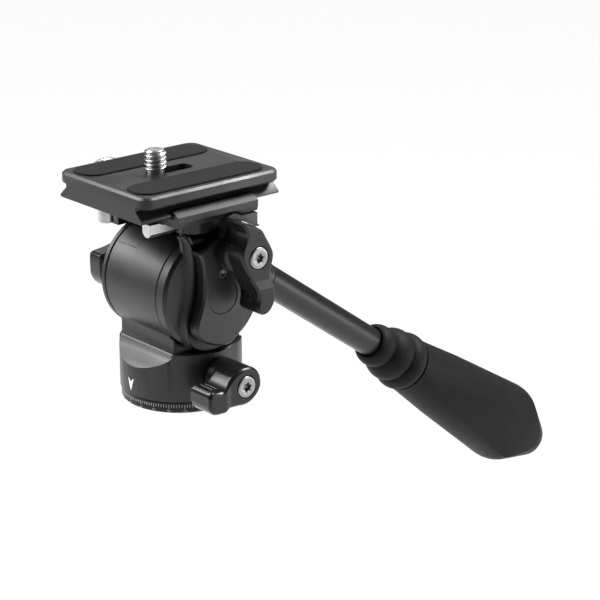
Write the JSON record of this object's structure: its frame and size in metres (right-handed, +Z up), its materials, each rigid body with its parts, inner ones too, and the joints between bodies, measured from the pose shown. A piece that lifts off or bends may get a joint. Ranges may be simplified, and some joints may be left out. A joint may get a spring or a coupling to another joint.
{
  "type": "fluid video head",
  "caption": "Compact pan and tilt fluid video head with a dovetail quick release plate, wing lock knobs, a degree ring and a pan handle with a flared grip.",
  "frame": {"origin": "on the pan axis at the underside of the base, where the head sits on a tripod", "axes": "+X along the tilt axis towards the lock knobs, -Y the way the lens looks, +Y towards the handle, +Z up"},
  "size_m": [0.0671, 0.1665, 0.1281],
  "materials": {
    "anodised_metal": "black anodised over a fine blast",
    "scale_metal": "black anodised, engraved and filled white",
    "black_plastic": "moulded, satin to gloss",
    "grip_rubber": "soft matt coating",
    "pad_rubber": "matt",
    "bright_steel": "plain stainless",
    "inner_steel": "machined",
    "bearing_plastic": "moulded acetal"
  },
  "bodies": {
    "base_body": {"tripod_base": "inner_steel", "scale_ring": "scale_metal", "pan_spindle": "inner_steel", "spindle_nut": "inner_steel"},
    "pan_body": {"pan_housing": "anodised_metal", "pan_thrust_washer": "bearing_plastic", "tilt_bush_left": "bearing_plastic", "tilt_bush_right": "bearing_plastic"},
    "pan_shoe_body": {"pan_brake_shoe": "bearing_plastic"},
    "pan_lever_body": {"pan_lock_knob": "black_plastic", "pan_lock_stud": "inner_steel", "pan_lock_cap_screw": "bright_steel"},
    "tilt_body": {"tilt_axle": "inner_steel", "drag_rotor": "inner_steel", "left_yoke_cheek": "anodised_metal", "right_yoke_arm": "anodised_metal", "arm_cover": "anodised_metal", "axle_cap": "anodised_metal", "arm_cover_screw": "inner_steel", "clamp_platform": "anodised_metal", "handle_bar": "anodised_metal", "handle_collar": "grip_rubber", "handle_grip": "grip_rubber"},
    "tilt_shoe_body": {"tilt_brake_shoe": "bearing_plastic"},
    "tilt_lever_body": {"tilt_lock_knob": "black_plastic", "tilt_lock_stud": "inner_steel", "tilt_lock_cap_screw": "bright_steel"},
    "drag_body": {"tilt_drag_knob": "black_plastic"},
    "clamp_knob_body": {"clamp_knob": "anodised_metal", "clamp_screw": "inner_steel"},
    "jaw_body": {"moving_jaw": "anodised_metal"},
    "catch_body": {"safety_catch": "bright_steel"},
    "plate_body": {"quick_release_plate": "anodised_metal", "plate_pad_left": "pad_rubber", "plate_pad_right": "pad_rubber", "plate_stop_screw": "bright_steel"},
    "slider_body": {"screw_slider": "inner_steel"},
    "camera_screw_body": {"camera_screw": "bright_steel"}
  },
  "joints": [
    {"name": "pan", "type": "hinge", "parent": "base_body", "child": "pan_body", "pos_m": [0, 0, 0], "axis": [0, 0, 1], "continuous": true},
    {"name": "tilt", "type": "hinge", "parent": "pan_body", "child": "tilt_body", "pos_m": [0, 0, 0.0351], "axis": [1, 0, 0], "range_deg": [-30, 90]},
    {"name": "tilt_lock", "type": "hinge", "parent": "tilt_body", "child": "tilt_lever_body", "pos_m": [0, 0.0036, 0.0487], "axis": [1, 0, 0], "range_deg": [-120, 240]},
    {"name": "tilt_shoe", "type": "slide", "parent": "tilt_body", "child": "tilt_shoe_body", "axis": [-1, 0, 0], "range_m": [-0.0005, 0.00025]},
    {"name": "pan_lock", "type": "hinge", "parent": "pan_body", "child": "pan_lever_body", "pos_m": [0, 0, 0.0104], "axis": [1, 0, 0], "range_deg": [-120, 240]},
    {"name": "pan_shoe", "type": "slide", "parent": "pan_body", "child": "pan_shoe_body", "axis": [-1, 0, 0], "range_m": [-0.0005, 0.00025]},
    {"name": "tilt_drag", "type": "hinge", "parent": "tilt_body", "child": "drag_body", "pos_m": [0, 0, 0.0351], "axis": [-1, 0, 0], "range_deg": [-150, 150]},
    {"name": "clamp", "type": "hinge", "parent": "tilt_body", "child": "clamp_knob_body", "pos_m": [0, -0.0013, 0.0573], "axis": [-1, 0, 0], "range_deg": [0, 540]},
    {"name": "jaw", "type": "slide", "parent": "tilt_body", "child": "jaw_body", "axis": [1, 0, 0], "range_m": [0, 0.00081]},
    {"name": "catch", "type": "slide", "parent": "tilt_body", "child": "catch_body", "axis": [0, 1, 0], "range_m": [0, 0.0012]},
    {"name": "plate", "type": "slide", "parent": "tilt_body", "child": "plate_body", "axis": [0, 1, 0], "range_m": [-0.015, 0.005]},
    {"name": "camera_screw_slide", "type": "slide", "parent": "plate_body", "child": "slider_body", "axis": [0, 1, 0], "range_m": [0, 0.0095]},
    {"name": "camera_screw_turn", "type": "hinge", "parent": "slider_body", "child": "camera_screw_body", "pos_m": [0.001, -0.0085, 0.0694], "axis": [0, 0, 1], "continuous": true}
  ],
  "couplings": [
    {"joint": "tilt_shoe", "follows": "tilt_lock", "m_per_rad": -0.00011},
    {"joint": "pan_shoe", "follows": "pan_lock", "m_per_rad": -0.00011},
    {"joint": "jaw", "follows": "clamp", "m_per_rad": 0.00008488}
  ]
}
